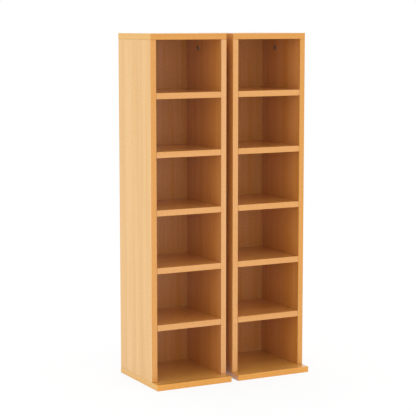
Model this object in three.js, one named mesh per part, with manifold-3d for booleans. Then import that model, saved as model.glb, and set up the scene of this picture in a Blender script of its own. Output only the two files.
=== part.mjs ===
// A pair of narrow storage towers for disc cases, in beech-faced board.
// Millimetres, +Z up, +X to the right, fronts towards -Y.
// The origin is on the floor, in the middle of the pair's outline.

import * as THREE from 'three';
import { mergeVertices } from 'three/addons/utils/BufferGeometryUtils.js';
import Module from 'manifold-3d';

const wasm = await Module();
wasm.setup();

// Driving dimensions of a tower
const TOWER_WIDTH = 210; // outside, across both side panels
const PANEL_DEPTH = 192; // side panels and top panel, front to back
const BOARD = 15; // thickness of every board
const BAY_HEIGHT = 130; // clear height of a bay
const BAY_COUNT = 6;
const BASE_PROJECTION = 31; // how far the base board stands out in front
const BACK_THICKNESS = 3;
const BACK_INSET = 1.5; // from the outline of the tower to the edge of the back panel

// How the towers stand
const TOWER_GAP = 19;
const TOWER_SIDES = { left: -1, right: 1 };

// Clearances
const FIT_GAP = 0.3; // round a fixing in its hole, and at the ends of a shelf
const SHELF_REAR_GAP = 1; // from the rear edge of a shelf to the back panel
const OVERRUN = 1; // how far a cutting shape runs past the face that it cuts

// Base screws, up through the base board into the side panels
const SCREW_LENGTH = 50;
const SCREW_RADIUS = 3.5;
const SCREW_HEAD_RADIUS = 5;
const SCREW_HEAD_HEIGHT = 3;
const SCREW_HEAD_SINK = 0.5; // from the underside of the base board up to the head
const SCREW_TIP_RADIUS = 2;
const SCREW_TIP_LENGTH = 3;
const SCREW_SOCKET_RADIUS = 2.3; // across the corners of the hexagon, halved
const SCREW_SOCKET_DEPTH = 3;
const SCREW_SETBACK = 37; // from the front and rear edges of a side panel

// Cam bolts in the top panel and cam locks in the side panels
const CAM_RADIUS = 7.5;
const CAM_SKIN = 2.5; // board left behind a cam lock
const CAM_DROP = 24; // from the top edge of a side panel to the axis of its cam lock
const CAM_POCKET_RADIUS = 4.6; // room inside a cam lock for the head of the bolt
const CAM_ENTRY_TURN = THREE.MathUtils.degToRad(110); // from the locked place to the entry
const CROSS_LENGTH = 7; // arms of the screwdriver cross in a cam lock
const CROSS_WIDTH = 1.4;
const CROSS_DEPTH = 2;
const BOLT_SKIN = 4; // board left above a cam bolt
const BOLT_THREAD_RADIUS = 3;
const BOLT_COLLAR_RADIUS = 3.7;
const BOLT_COLLAR_HEIGHT = 2;
const BOLT_NECK_RADIUS = 2;
const BOLT_HEAD_RADIUS = 3.2;
const BOLT_HEAD_LENGTH = 4;
const TOP_FIXING_SETBACK = 64; // dowel from the front edge, cam lock from the rear edge

// Wooden dowels between the side panels and the top panel
const DOWEL_RADIUS = 4;
const DOWEL_LENGTH = 30;
const DOWEL_CHAMFER = 1;
const DOWEL_SKIN = 5; // board left above a dowel

// Bent wire shelf supports, hidden in a groove in each end of a shelf
const WIRE_RADIUS = 1.5;
const WIRE_SKIN = 5; // board left behind a wire's leg
const WIRE_STANDOUT = 5; // from the side panel to the centre line of the wire
const WIRE_BEND_RADIUS = 3;
const WIRE_SETBACK = 37; // legs from the front and rear edges of a side panel
const GROOVE_LEAD = 8; // groove in front of the wire, so that the shelf can slide home

// Facets
const HOLE_SIDES = 12;
const FIXING_SIDES = 12;
const WIRE_SIDES = 8;
const BEND_STEPS = 3;
const SWING_STEPS = 3;
const HEXAGON_SIDES = 6;

// Sizes worked out from the ones above
const PITCH = BAY_HEIGHT + BOARD;
const TOWER_HEIGHT = BAY_COUNT * PITCH + BOARD;
const SIDE_HEIGHT = TOWER_HEIGHT - 2 * BOARD;
const INNER_WIDTH = TOWER_WIDTH - 2 * BOARD;
const SIDE_OFFSET = (TOWER_WIDTH - BOARD) / 2; // middle of a side panel from the middle of its tower
const BODY_DEPTH = PANEL_DEPTH + BACK_THICKNESS;
const SCREW_PLACES = [SCREW_SETBACK, PANEL_DEPTH - SCREW_SETBACK];
const DOWEL_PLACE = TOP_FIXING_SETBACK;
const CAM_PLACE = PANEL_DEPTH - TOP_FIXING_SETBACK;
const WIRE_PLACES = [WIRE_SETBACK, PANEL_DEPTH - WIRE_SETBACK];
const WIRE_SPAN = PANEL_DEPTH - 2 * WIRE_SETBACK;
const WIRE_LEG = BOARD - WIRE_SKIN;
const CAM_BORE_DEPTH = BOARD - CAM_SKIN;
const BOLT_HOLE_DEPTH = BOARD - BOLT_SKIN;
const DOWEL_HOLE_DEPTH = BOARD - DOWEL_SKIN;
const SCREW_HOLE_RADIUS = SCREW_RADIUS + FIT_GAP;
const SCREW_HOLE_DEPTH = SCREW_HEAD_SINK + SCREW_LENGTH + FIT_GAP - BOARD;
const SHELF_WIDTH = INNER_WIDTH - 2 * FIT_GAP;
const SHELF_DEPTH = PANEL_DEPTH - SHELF_REAR_GAP;

// Directions
const UP = new THREE.Vector3(0, 0, 1);
const DOWN = new THREE.Vector3(0, 0, -1);
const ALONG_Y = new THREE.Vector3(0, 1, 0);

const BEECH = new THREE.MeshStandardMaterial({ color: 0xebbe87, roughness: 0.5, metalness: 0 });
const HARDBOARD = new THREE.MeshStandardMaterial({ color: 0x8f6238, roughness: 0.8, metalness: 0 });
const DOWEL_WOOD = new THREE.MeshStandardMaterial({ color: 0xd9bd92, roughness: 0.8, metalness: 0 });
const STEEL = new THREE.MeshStandardMaterial({ color: 0xb9bcc0, roughness: 0.35, metalness: 1 });
const ZINC = new THREE.MeshStandardMaterial({ color: 0xa4a8ac, roughness: 0.45, metalness: 1 });

// A closed geometry as a solid that can be cut and joined
function toSolid(geometry) {
  const bare = geometry.clone();
  bare.deleteAttribute('normal');
  bare.deleteAttribute('uv');
  const merged = mergeVertices(bare);
  return new wasm.Manifold(new wasm.Mesh({
    numProp: 3,
    vertProperties: new Float32Array(merged.getAttribute('position').array),
    triVerts: new Uint32Array(merged.getIndex().array),
  }));
}

function toGeometry(solid) {
  const { vertProperties, triVerts } = solid.getMesh();
  const geometry = new THREE.BufferGeometry();
  geometry.setAttribute('position', new THREE.BufferAttribute(vertProperties, 3));
  geometry.setIndex(new THREE.BufferAttribute(triVerts, 1));
  geometry.computeVertexNormals();
  return geometry;
}

// One geometry less some others
function cut(geometry, cutters) {
  let solid = toSolid(geometry);
  for (const cutter of cutters) {
    solid = solid.subtract(toSolid(cutter));
  }
  return toGeometry(solid);
}

// A shape turned about the Z axis, from its radius and height at each step
function turned(profile, sides) {
  const points = profile.map(([radius, height]) => new THREE.Vector2(radius, height));
  const lathe = new THREE.LatheGeometry(points, sides).rotateX(Math.PI / 2);
  return toGeometry(toSolid(lathe));
}

// A cutter for a blind round hole: where its mouth is, which way it faces, and its size
function holeCutter(mouth, facing, radius, depth, sides) {
  const cutter = new THREE.CylinderGeometry(radius, radius, depth + OVERRUN, sides);
  cutter.translate(0, (OVERRUN - depth) / 2, 0);
  cutter.applyQuaternion(new THREE.Quaternion().setFromUnitVectors(ALONG_Y, facing));
  return cutter.translate(mouth.x, mouth.y, mouth.z);
}

// From here on, a board's geometry is centred on the board.
// A place given from the front edges of the side panels is turned into one from the middle of a board.
function fromMiddle(place, depth) {
  return place - depth / 2;
}

// Height of the middle of a shelf, counted from the lowest one
function shelfHeight(level) {
  return BOARD / 2 + level * PITCH;
}

// hand is -1 for the left side panel and 1 for the right one
function sidePanelGeometry(hand) {
  const innerFace = -hand * BOARD / 2;
  const inward = new THREE.Vector3(-hand, 0, 0);
  const topEdge = SIDE_HEIGHT / 2;
  const middleHeight = TOWER_HEIGHT / 2;
  const cutters = [];
  for (const place of SCREW_PLACES) {
    const mouth = new THREE.Vector3(0, fromMiddle(place, PANEL_DEPTH), -topEdge);
    cutters.push(holeCutter(mouth, DOWN, SCREW_HOLE_RADIUS, SCREW_HOLE_DEPTH, HOLE_SIDES));
  }
  const dowelMouth = new THREE.Vector3(0, fromMiddle(DOWEL_PLACE, PANEL_DEPTH), topEdge);
  const dowelDepth = DOWEL_LENGTH - DOWEL_HOLE_DEPTH + 2 * FIT_GAP;
  cutters.push(holeCutter(dowelMouth, UP, DOWEL_RADIUS + FIT_GAP, dowelDepth, HOLE_SIDES));
  const boltMouth = new THREE.Vector3(0, fromMiddle(CAM_PLACE, PANEL_DEPTH), topEdge);
  cutters.push(holeCutter(boltMouth, UP, BOLT_COLLAR_RADIUS + FIT_GAP, CAM_DROP, HOLE_SIDES));
  const camMouth = new THREE.Vector3(innerFace, boltMouth.y, topEdge - CAM_DROP);
  cutters.push(holeCutter(camMouth, inward, CAM_RADIUS + FIT_GAP, CAM_BORE_DEPTH, HOLE_SIDES));
  for (let level = 1; level < BAY_COUNT; level++) {
    for (const place of WIRE_PLACES) {
      const y = fromMiddle(place, PANEL_DEPTH);
      const mouth = new THREE.Vector3(innerFace, y, shelfHeight(level) - middleHeight);
      cutters.push(holeCutter(mouth, inward, WIRE_RADIUS + FIT_GAP, WIRE_LEG + FIT_GAP, WIRE_SIDES));
    }
  }
  return cut(new THREE.BoxGeometry(BOARD, PANEL_DEPTH, SIDE_HEIGHT), cutters);
}

function topPanelGeometry() {
  const cutters = [];
  for (const hand of Object.values(TOWER_SIDES)) {
    const x = hand * SIDE_OFFSET;
    const dowelMouth = new THREE.Vector3(x, fromMiddle(DOWEL_PLACE, PANEL_DEPTH), -BOARD / 2);
    cutters.push(holeCutter(dowelMouth, DOWN, DOWEL_RADIUS + FIT_GAP, DOWEL_HOLE_DEPTH, HOLE_SIDES));
    const boltMouth = new THREE.Vector3(x, fromMiddle(CAM_PLACE, PANEL_DEPTH), -BOARD / 2);
    cutters.push(holeCutter(boltMouth, DOWN, BOLT_THREAD_RADIUS + FIT_GAP, BOLT_HOLE_DEPTH, HOLE_SIDES));
  }
  return cut(new THREE.BoxGeometry(TOWER_WIDTH, PANEL_DEPTH, BOARD), cutters);
}

// A countersunk through hole, standing on the underside of the base board
function screwHoleCutter() {
  const sink = SCREW_HEAD_RADIUS + FIT_GAP;
  return turned([
    [0, -OVERRUN],
    [sink, -OVERRUN],
    [sink, SCREW_HEAD_SINK],
    [SCREW_HOLE_RADIUS, SCREW_HEAD_SINK + SCREW_HEAD_HEIGHT],
    [SCREW_HOLE_RADIUS, BOARD + OVERRUN],
    [0, BOARD + OVERRUN],
  ], HOLE_SIDES);
}

function baseBoardGeometry() {
  const depth = PANEL_DEPTH + BASE_PROJECTION;
  const cutters = [];
  for (const hand of Object.values(TOWER_SIDES)) {
    for (const place of SCREW_PLACES) {
      const y = fromMiddle(place + BASE_PROJECTION, depth);
      cutters.push(screwHoleCutter().translate(hand * SIDE_OFFSET, y, -BOARD / 2));
    }
  }
  return cut(new THREE.BoxGeometry(TOWER_WIDTH, depth, BOARD), cutters);
}

// A shelf has a groove in each end, open at the rear and stopped short of the front edge
function shelfGeometry() {
  const grooveHeight = 2 * (WIRE_RADIUS + FIT_GAP);
  const grooveReach = WIRE_STANDOUT + WIRE_RADIUS;
  const grooveFront = WIRE_SETBACK - WIRE_RADIUS - GROOVE_LEAD;
  const grooveLength = SHELF_DEPTH - grooveFront + OVERRUN;
  const cutters = [];
  for (const hand of Object.values(TOWER_SIDES)) {
    const groove = new THREE.BoxGeometry(grooveReach + OVERRUN, grooveLength, grooveHeight);
    const x = hand * (SHELF_WIDTH + OVERRUN - grooveReach) / 2;
    cutters.push(groove.translate(x, fromMiddle(grooveFront + grooveLength / 2, SHELF_DEPTH), 0));
  }
  return cut(new THREE.BoxGeometry(SHELF_WIDTH, SHELF_DEPTH, BOARD), cutters);
}

function backPanelGeometry() {
  return new THREE.BoxGeometry(
    TOWER_WIDTH - 2 * BACK_INSET,
    BACK_THICKNESS,
    TOWER_HEIGHT - 2 * BACK_INSET,
  );
}

// A base screw stands on its head, with a hexagon socket in the head
function baseScrewGeometry() {
  const body = turned([
    [0, 0],
    [SCREW_HEAD_RADIUS, 0],
    [SCREW_RADIUS, SCREW_HEAD_HEIGHT],
    [SCREW_RADIUS, SCREW_LENGTH - SCREW_TIP_LENGTH],
    [SCREW_TIP_RADIUS, SCREW_LENGTH],
    [0, SCREW_LENGTH],
  ], FIXING_SIDES);
  const mouth = new THREE.Vector3(0, 0, 0);
  return cut(body, [holeCutter(mouth, DOWN, SCREW_SOCKET_RADIUS, SCREW_SOCKET_DEPTH, HEXAGON_SIDES)]);
}

// A cam bolt hangs from the underside of the top panel, which is at height zero here
function camBoltGeometry() {
  const headTop = BOLT_HEAD_LENGTH / 2 - CAM_DROP;
  return turned([
    [0, headTop - BOLT_HEAD_LENGTH],
    [BOLT_HEAD_RADIUS, headTop - BOLT_HEAD_LENGTH],
    [BOLT_HEAD_RADIUS, headTop],
    [BOLT_NECK_RADIUS, headTop],
    [BOLT_NECK_RADIUS, -BOLT_COLLAR_HEIGHT],
    [BOLT_COLLAR_RADIUS, -BOLT_COLLAR_HEIGHT],
    [BOLT_COLLAR_RADIUS, 0],
    [BOLT_THREAD_RADIUS, 0],
    [BOLT_THREAD_RADIUS, BOLT_HOLE_DEPTH - FIT_GAP],
    [0, BOLT_HOLE_DEPTH - FIT_GAP],
  ], FIXING_SIDES);
}

// A cam lock has its face at height zero and its body below. The neck of the bolt lies along +Y when locked,
// and comes in where the lock has been turned back by the entry angle. turn is 1 or -1.
function camLockGeometry(turn) {
  const height = CAM_BORE_DEPTH - FIT_GAP;
  const middle = -BOARD / 2;
  const neckRoom = BOLT_NECK_RADIUS + FIT_GAP;
  const headRoom = BOLT_HEAD_RADIUS + FIT_GAP;
  const reach = CAM_RADIUS + OVERRUN;
  const body = new THREE.CylinderGeometry(CAM_RADIUS, CAM_RADIUS, height, FIXING_SIDES);
  body.rotateX(Math.PI / 2).translate(0, 0, -height / 2);

  const room = CAM_POCKET_RADIUS;
  const pocket = new THREE.CylinderGeometry(room, room, 2 * headRoom, FIXING_SIDES);
  pocket.rotateX(Math.PI / 2).translate(0, 0, middle);

  const neckSlot = new THREE.CylinderGeometry(neckRoom, neckRoom, reach, FIXING_SIDES);
  neckSlot.translate(0, reach / 2, middle);

  const swing = new THREE.Shape();
  const locked = Math.PI / 2;
  swing.moveTo(0, 0);
  swing.lineTo(0, reach);
  swing.absarc(0, 0, reach, locked, locked + turn * CAM_ENTRY_TURN, turn < 0);
  const track = new THREE.ExtrudeGeometry(swing, {
    depth: 2 * neckRoom,
    bevelEnabled: false,
    curveSegments: SWING_STEPS,
  });
  track.translate(0, 0, middle - neckRoom);

  const entry = new THREE.CylinderGeometry(headRoom, headRoom, reach, FIXING_SIDES);
  entry.translate(0, reach / 2, 0).rotateZ(turn * CAM_ENTRY_TURN).translate(0, 0, middle);

  const arms = [[CROSS_LENGTH, CROSS_WIDTH], [CROSS_WIDTH, CROSS_LENGTH]];
  const cross = arms.map(([width, length]) => {
    const arm = new THREE.BoxGeometry(width, length, CROSS_DEPTH + OVERRUN);
    return arm.translate(0, 0, (OVERRUN - CROSS_DEPTH) / 2);
  });
  return cut(body, [pocket, neckSlot, track, entry, ...cross]);
}

function dowelGeometry() {
  const end = DOWEL_LENGTH / 2;
  const tip = DOWEL_RADIUS - DOWEL_CHAMFER;
  return turned([
    [0, -end],
    [tip, -end],
    [DOWEL_RADIUS, DOWEL_CHAMFER - end],
    [DOWEL_RADIUS, end - DOWEL_CHAMFER],
    [tip, end],
    [0, end],
  ], FIXING_SIDES);
}

// A line through given points, with one section of the wire at each point
class PointLine extends THREE.Curve {
  constructor(points) {
    super();
    this.points = points;
  }

  getPoint(share, target = new THREE.Vector3()) {
    const last = this.points.length - 1;
    const place = THREE.MathUtils.clamp(share, 0, 1) * last;
    const index = Math.min(Math.floor(place), last - 1);
    return target.lerpVectors(this.points[index], this.points[index + 1], place - index);
  }

  getPointAt(share, target) {
    return this.getPoint(share, target);
  }

  getTangentAt(share, target) {
    return this.getTangent(share, target);
  }
}

// A wire lies flat. Its legs run along +X into the side panel, whose face is at zero.
function shelfWireGeometry() {
  const half = WIRE_SPAN / 2;
  const bend = WIRE_BEND_RADIUS;
  const points = [new THREE.Vector3(WIRE_LEG, -half, 0)];
  const bends = [[bend - half, -Math.PI / 2], [half - bend, Math.PI]];
  for (const [middle, start] of bends) {
    for (let step = 0; step <= BEND_STEPS; step++) {
      const angle = start - step / BEND_STEPS * Math.PI / 2;
      const x = bend - WIRE_STANDOUT + bend * Math.cos(angle);
      points.push(new THREE.Vector3(x, middle + bend * Math.sin(angle), 0));
    }
  }
  points.push(new THREE.Vector3(WIRE_LEG, half, 0));
  const section = new THREE.Shape().absarc(0, 0, WIRE_RADIUS, 0, 2 * Math.PI);
  const wire = new THREE.ExtrudeGeometry(section, {
    steps: points.length - 1,
    curveSegments: WIRE_SIDES / 2,
    extrudePath: new PointLine(points),
  });
  return toGeometry(toSolid(wire));
}

function piece(name, geometry, material, x, y, z) {
  const mesh = new THREE.Mesh(geometry, material.clone());
  mesh.name = name;
  mesh.position.set(x, y, z);
  return mesh;
}

// Carcass boards. y is counted from the front edges of the side panels, z from the floor.
function addBoards(tower, prefix) {
  const middle = PANEL_DEPTH / 2;
  const baseMiddle = (PANEL_DEPTH - BASE_PROJECTION) / 2;
  const topMiddle = TOWER_HEIGHT - BOARD / 2;
  tower.add(piece(`${prefix}_base_board`, baseBoardGeometry(), BEECH, 0, baseMiddle, BOARD / 2));
  tower.add(piece(`${prefix}_top_panel`, topPanelGeometry(), BEECH, 0, middle, topMiddle));
  for (const [side, hand] of Object.entries(TOWER_SIDES)) {
    const name = `${prefix}_${side}_side_panel`;
    const geometry = sidePanelGeometry(hand);
    tower.add(piece(name, geometry, BEECH, hand * SIDE_OFFSET, middle, TOWER_HEIGHT / 2));
  }
  for (let level = 1; level < BAY_COUNT; level++) {
    const name = `${prefix}_shelf_${level}`;
    tower.add(piece(name, shelfGeometry(), BEECH, 0, SHELF_DEPTH / 2, shelfHeight(level)));
  }
  const backMiddle = PANEL_DEPTH + BACK_THICKNESS / 2;
  const back = backPanelGeometry();
  tower.add(piece(`${prefix}_back_panel`, back, HARDBOARD, 0, backMiddle, TOWER_HEIGHT / 2));
}

function addBaseScrews(tower, prefix) {
  for (const [side, hand] of Object.entries(TOWER_SIDES)) {
    for (const [index, place] of SCREW_PLACES.entries()) {
      const name = `${prefix}_${side}_base_screw_${index + 1}`;
      const geometry = baseScrewGeometry();
      tower.add(piece(name, geometry, STEEL, hand * SIDE_OFFSET, place, SCREW_HEAD_SINK));
    }
  }
}

// A cam bolt, a cam lock and a dowel hold each side panel to the top panel
function addTopFixings(tower, prefix) {
  const underside = TOWER_HEIGHT - BOARD;
  const dowelHeight = underside + DOWEL_HOLE_DEPTH - FIT_GAP - DOWEL_LENGTH / 2;
  for (const [side, hand] of Object.entries(TOWER_SIDES)) {
    const x = hand * SIDE_OFFSET;
    const name = `${prefix}_${side}`;
    tower.add(piece(`${name}_cam_bolt`, camBoltGeometry(), STEEL, x, CAM_PLACE, underside));
    tower.add(piece(`${name}_dowel`, dowelGeometry(), DOWEL_WOOD, x, DOWEL_PLACE, dowelHeight));
    const face = hand * INNER_WIDTH / 2;
    const lockHeight = underside - CAM_DROP;
    const lock = piece(`${name}_cam_lock`, camLockGeometry(hand), ZINC, face, CAM_PLACE, lockHeight);
    const facing = new THREE.Vector3(-hand, 0, 0);
    const across = new THREE.Vector3().crossVectors(UP, facing);
    lock.quaternion.setFromRotationMatrix(new THREE.Matrix4().makeBasis(across, UP, facing));
    tower.add(lock);
  }
}

function addShelfWires(tower, prefix) {
  for (let level = 1; level < BAY_COUNT; level++) {
    for (const [side, hand] of Object.entries(TOWER_SIDES)) {
      const name = `${prefix}_shelf_${level}_${side}_wire`;
      const face = hand * INNER_WIDTH / 2;
      const wire = piece(name, shelfWireGeometry(), STEEL, face, PANEL_DEPTH / 2, shelfHeight(level));
      wire.rotation.z = hand < 0 ? Math.PI : 0;
      tower.add(wire);
    }
  }
}

const towers = new THREE.Group();
for (const [side, hand] of Object.entries(TOWER_SIDES)) {
  const prefix = `${side}_tower`;
  const tower = new THREE.Group();
  addBoards(tower, prefix);
  addBaseScrews(tower, prefix);
  addTopFixings(tower, prefix);
  addShelfWires(tower, prefix);
  tower.position.set(hand * (TOWER_WIDTH + TOWER_GAP) / 2, (BASE_PROJECTION - BODY_DEPTH) / 2, 0);
  towers.add(tower);
}

export default towers;
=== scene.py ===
"""Finishes a pair of disc storage towers: printed boards with edge bands, hardboard backs and steel fixings.

Metres, Z up, fronts towards -Y. The origin is on the floor, in the middle of the pair's outline.
"""

import math
from typing import NamedTuple

import bmesh
import bpy
from mathutils import Matrix, Vector


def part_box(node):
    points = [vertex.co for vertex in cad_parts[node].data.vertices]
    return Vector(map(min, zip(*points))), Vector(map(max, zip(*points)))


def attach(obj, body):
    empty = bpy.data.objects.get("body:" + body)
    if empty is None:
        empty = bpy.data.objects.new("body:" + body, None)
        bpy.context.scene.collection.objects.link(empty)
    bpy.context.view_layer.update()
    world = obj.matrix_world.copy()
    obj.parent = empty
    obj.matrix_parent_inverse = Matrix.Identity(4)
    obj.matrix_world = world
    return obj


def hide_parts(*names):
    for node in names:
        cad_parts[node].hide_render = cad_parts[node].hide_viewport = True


bl_info = {
    "name": "Disc Storage Tower Pair",
    "version": (1, 0, 0),
    "blender": (4, 5, 0),
    "location": "3D View > Sidebar > Disc Towers",
    "description": "Finishes a pair of disc storage towers in beech-print board",
    "category": "Object",
}

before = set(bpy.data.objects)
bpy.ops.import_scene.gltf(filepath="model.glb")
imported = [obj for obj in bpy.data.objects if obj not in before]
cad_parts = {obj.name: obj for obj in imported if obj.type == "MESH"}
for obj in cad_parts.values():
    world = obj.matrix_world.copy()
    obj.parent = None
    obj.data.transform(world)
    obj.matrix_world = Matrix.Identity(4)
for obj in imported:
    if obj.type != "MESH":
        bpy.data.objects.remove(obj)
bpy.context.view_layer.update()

MM = 0.001
X_AXIS, Y_AXIS, Z_AXIS = range(3)
ORIGIN = (0.0, 0.0, 0.0)
UP = (0.0, 0.0, 1.0)
FULL_TURN = 2 * math.pi
QUARTER_TURN = math.pi / 2
NO_TURN = Matrix.Identity(4)
Z_TO_X = Matrix.Rotation(QUARTER_TURN, 4, "Y")
Z_TO_Y = Matrix.Rotation(-QUARTER_TURN, 4, "X")

TOWERS = ("left_tower", "right_tower")
HANDS = {"left": -1, "right": 1}
CORNERS = [f"{tower}_{hand}" for tower in TOWERS for hand in HANDS]
SHELF_NODES = sorted(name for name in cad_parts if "_shelf_" in name and not name.endswith("_wire"))

# Sides of a board, each as an axis and the way that it faces
FRONT = (Y_AXIS, -1)
LEFT_END = (X_AXIS, -1)
RIGHT_END = (X_AXIS, 1)
SIDE_NAMES = {FRONT: "front", LEFT_END: "left", RIGHT_END: "right"}

# Tolerances for reading and mending a mesh
MERGE_DISTANCE = 1e-6
WELD_DISTANCE = 5e-6
TOUCHING = 1e-5
FLAT_ANGLE = math.radians(0.5)
SHARP_ANGLE = math.radians(30)
FACING = 0.5  # least part of a face's normal along an axis that the face looks along

# Sizes of the fixings that the CAD boxes don't give, as in the part's source
FIT_GAP = 0.3 * MM
OVERRUN = 1 * MM  # how far a cutter runs past the face that it cuts
SCREW_RADIUS = 3.5 * MM
SCREW_HEAD_RADIUS = 5 * MM
SCREW_HEAD_HEIGHT = 3 * MM
SCREW_NECK = 13 * MM  # from the end of the head to the thread
SCREW_TIP = 3 * MM
SCREW_SOCKET_RADIUS = 2.3 * MM
SCREW_SOCKET_DEPTH = 3 * MM
CAM_RADIUS = 7.5 * MM
CAM_POCKET_RADIUS = 4.6 * MM
CAM_ENTRY_TURN = math.radians(110)
CAM_NUDGE = 0.05 * MM  # keeps the faces of two cutters out of one plane
CROSS_LENGTH = 7 * MM
CROSS_WIDTH = 1.4 * MM
CROSS_DEPTH = 2 * MM
ARROW_RADIUS = 1.1 * MM
ARROW_PLACE = 5.4 * MM  # from the middle of a cam lock to its arrow
BOLT_THREAD_RADIUS = 3 * MM
BOLT_COLLAR_RADIUS = 3.7 * MM
BOLT_COLLAR_HEIGHT = 2 * MM
BOLT_NECK_RADIUS = 2 * MM
BOLT_HEAD_RADIUS = 3.2 * MM
BOLT_HEAD_LENGTH = 4 * MM
DOWEL_CHAMFER = 1 * MM
WIRE_BEND = 3 * MM
WIRE_NOSE_SHARE = 0.25  # of a wire's radius, eased off at its ends
PIN_POINT = 1.5 * MM

# A thread's outline: 0 at its root and 1 at its crest, and the share of the pitch
THREAD_SHARES = ((0, 0.0), (1, 0.42), (1, 0.58), (0, 1.0))
PIN_DOME_SHARES = ((1.0, 0.4), (0.8, 0.8), (0.4, 1.0))  # of a pin head's radius and height

# How many sides or steps round shapes have
ROUND_SIDES = 48
THREAD_SIDES = 24
HEXAGON_SIDES = 6
ARROW_SIDES = 3
TRACK_STEPS = 16
DOWEL_FLUTES = 20
FLUTE_STEPS = 4
THIN_SIDES = 16
WIRE_BEND_STEPS = 8
BAND_STEPS = 3
ARRIS_STEPS = 2
FLOOR_SIDES = 64

# Materials
FACE = "beech_print_melamine"
BAND = "beech_print_abs_edge_band"
# Painted light: the outer ends and the base fronts get this brighter band
PAINTED_LIGHT_BAND = "beech_print_abs_painted_light_band"
CHIPBOARD = "sawn_chipboard"
HARDBOARD = "raw_hardboard_mesh_side"
STEEL = "bright_zinc_plated_steel"
CASTING = "tumbled_die_cast_zinc"
RAW_BEECH = "raw_beech_dowel"

# The printed beech: a map in metres on each piece, and each face's tone, which also carries painted light and
# shade
GRAIN_MAP = "grain"
TONE_LAYER = "tone"
SHEET_STEP = Vector((0.271, 0.613))  # from one board's place on the printed sheet to the next one's
FIRST_SHELF, FIRST_TOP, FIRST_BACK = 10, 20, 30  # numbers of the boards, so that no two share a place

# Boards of one pack differ in tone: 0 is the deepest and 1 the palest. The first text found in a node's name
# counts. Faces have a tone at the board's left side or underside, and another at its right side or top. The
# face tones are painted light and shade: faces that look out to the light, such as the outer sides and the
# top of a top panel, are painted pale, and faces inside the towers and in the gap between them are painted
# deep.
LIT_AND_SHADED_FACE_TONES = {
    "left_tower_left_side_panel": (1.0, 0.05),
    "right_tower_right_side_panel": (0.05, 1.0),
    "side_panel": (0.05, 0.05),
    "top_panel": (0.2, 0.9),
    "base_board": (0.9, 0.6),
    "": (0.2, 0.2),
}
FRONT_TONES = {
    "left_tower_left_side_panel": 0.2,
    "left_tower_right_side_panel": 0.87,
    "right_tower_left_side_panel": 0.6,
    "left_tower_shelf": 0.5,
    "right_tower_shelf": 0.42,
    "": 0.0,
}
# Painted light and shade: the outer ends are painted palest, and the ends in the narrow gap between the
# towers are painted deep
PAINTED_LIGHT_END_TONE = 1.0
PAINTED_SHADE_END_TONE = 0.1

# Stage
SENSOR_WIDTH = 36.0  # millimetres
LAMP_PLACE = Vector((-4.0, -0.6, 1.5))
LAMP_TARGET = Vector((0.0, 0.0, 0.45))
LAMP_SIZE = 2.4
FADE_START = 0.2  # metres from the middle, where the floor starts to fade to the backdrop
FADE_START_SHARE = 0.86  # how much of the backdrop already shows there
FADE_END = 1.2


def linear(colour):
    """An sRGB hex colour as linear red, green and blue."""
    channels = [int(colour[start : start + 2], 16) / 255 for start in (0, 2, 4)]
    return tuple(c / 12.92 if c <= 0.04045 else ((c + 0.055) / 1.055) ** 2.4 for c in channels)


WHITE = linear("FFFFFF")


# Settings


def setting(name, description, default, **options):
    """A number, or a vector."""
    kind = bpy.props.FloatVectorProperty if isinstance(default, tuple) else bpy.props.FloatProperty
    return kind(name=name, description=description, default=default, **options)


def millimetres(name, description, default):
    """A length, given in millimetres and shown in the scene's unit."""
    options = {"min": 0.0, "precision": 5, "subtype": "DISTANCE", "unit": "LENGTH"}
    return setting(name, description, default * MM, **options)


def shade(name, description, default):
    """A colour, given as sRGB hex."""
    return setting(name, description, linear(default), min=0.0, max=1.0, subtype="COLOR")


class BoardSettings(bpy.types.PropertyGroup):
    """Sizes and colours of the boards and of their edge bands."""

    band_thickness: millimetres("Band thickness", "Thickness of an edge band", 1.0)
    band_rounding: millimetres("Band rounding", "Radius of a band's outer edges", 0.8)
    band_reveal: millimetres("Band reveal", "Gap between an upright band and the next board", 0.5)
    arris: millimetres("Arris", "Radius of a board's bare edges", 0.6)
    face_deep: shade("Deepest face", "Ground of the deepest face", "D69355")
    face_pale: shade("Palest face", "Ground of the palest face", "E0AD5B")
    band_deep: shade("Deepest band", "Ground of the deepest edge band", "DB983E")
    band_pale: shade("Palest band", "Ground of the palest edge band", "E4AA73")
    # Painted light: the brighter band of the outer ends and the base fronts
    painted_light_deep: shade("Deepest bright band", "Ground of the deepest bright band", "E5A13F")
    painted_light_pale: shade("Palest bright band", "Ground of the palest bright band", "DFAA49")
    growth: shade("Growth stain", "What growth streaks leave of the ground", "F7EEB2")
    fleck: shade("Fleck stain", "What ray flecks leave of the ground", "E0CDB0")
    chip: shade("Chip", "Brown chips of a sawn edge", "A77C4B")
    chip_dark: shade("Dark chip", "Darkest chips of a sawn edge", "7C5631")
    chip_pale: shade("Pale chip", "Palest chips of a sawn edge", "D8B988")


class BackSettings(bpy.types.PropertyGroup):
    """Sizes and colours of the back panels and of their pins."""

    pin_spacing: millimetres("Pin spacing", "Greatest distance between two pins", 110)
    pin_edge: millimetres("Pin edge distance", "From the panel's edge to the row of pins", 6)
    pin_length: millimetres("Pin length", "Length of a panel pin under its head", 16)
    pin_radius: millimetres("Pin radius", "Radius of a panel pin's shank", 0.7)
    head_radius: millimetres("Pin head radius", "Radius of a panel pin's head", 2.1)
    head_height: millimetres("Pin head height", "How far a pin's head stands out", 0.4)
    arris: millimetres("Arris", "Radius of the sheet's edges", 0.3)
    ground: shade("Hardboard", "Ground of the raw hardboard", "8F6238")
    fibre: shade("Pale fibre", "Pale fibres in the hardboard", "A2764A")
    bark: shade("Dark fibre", "Dark fibres in the hardboard", "754E29")


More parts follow.
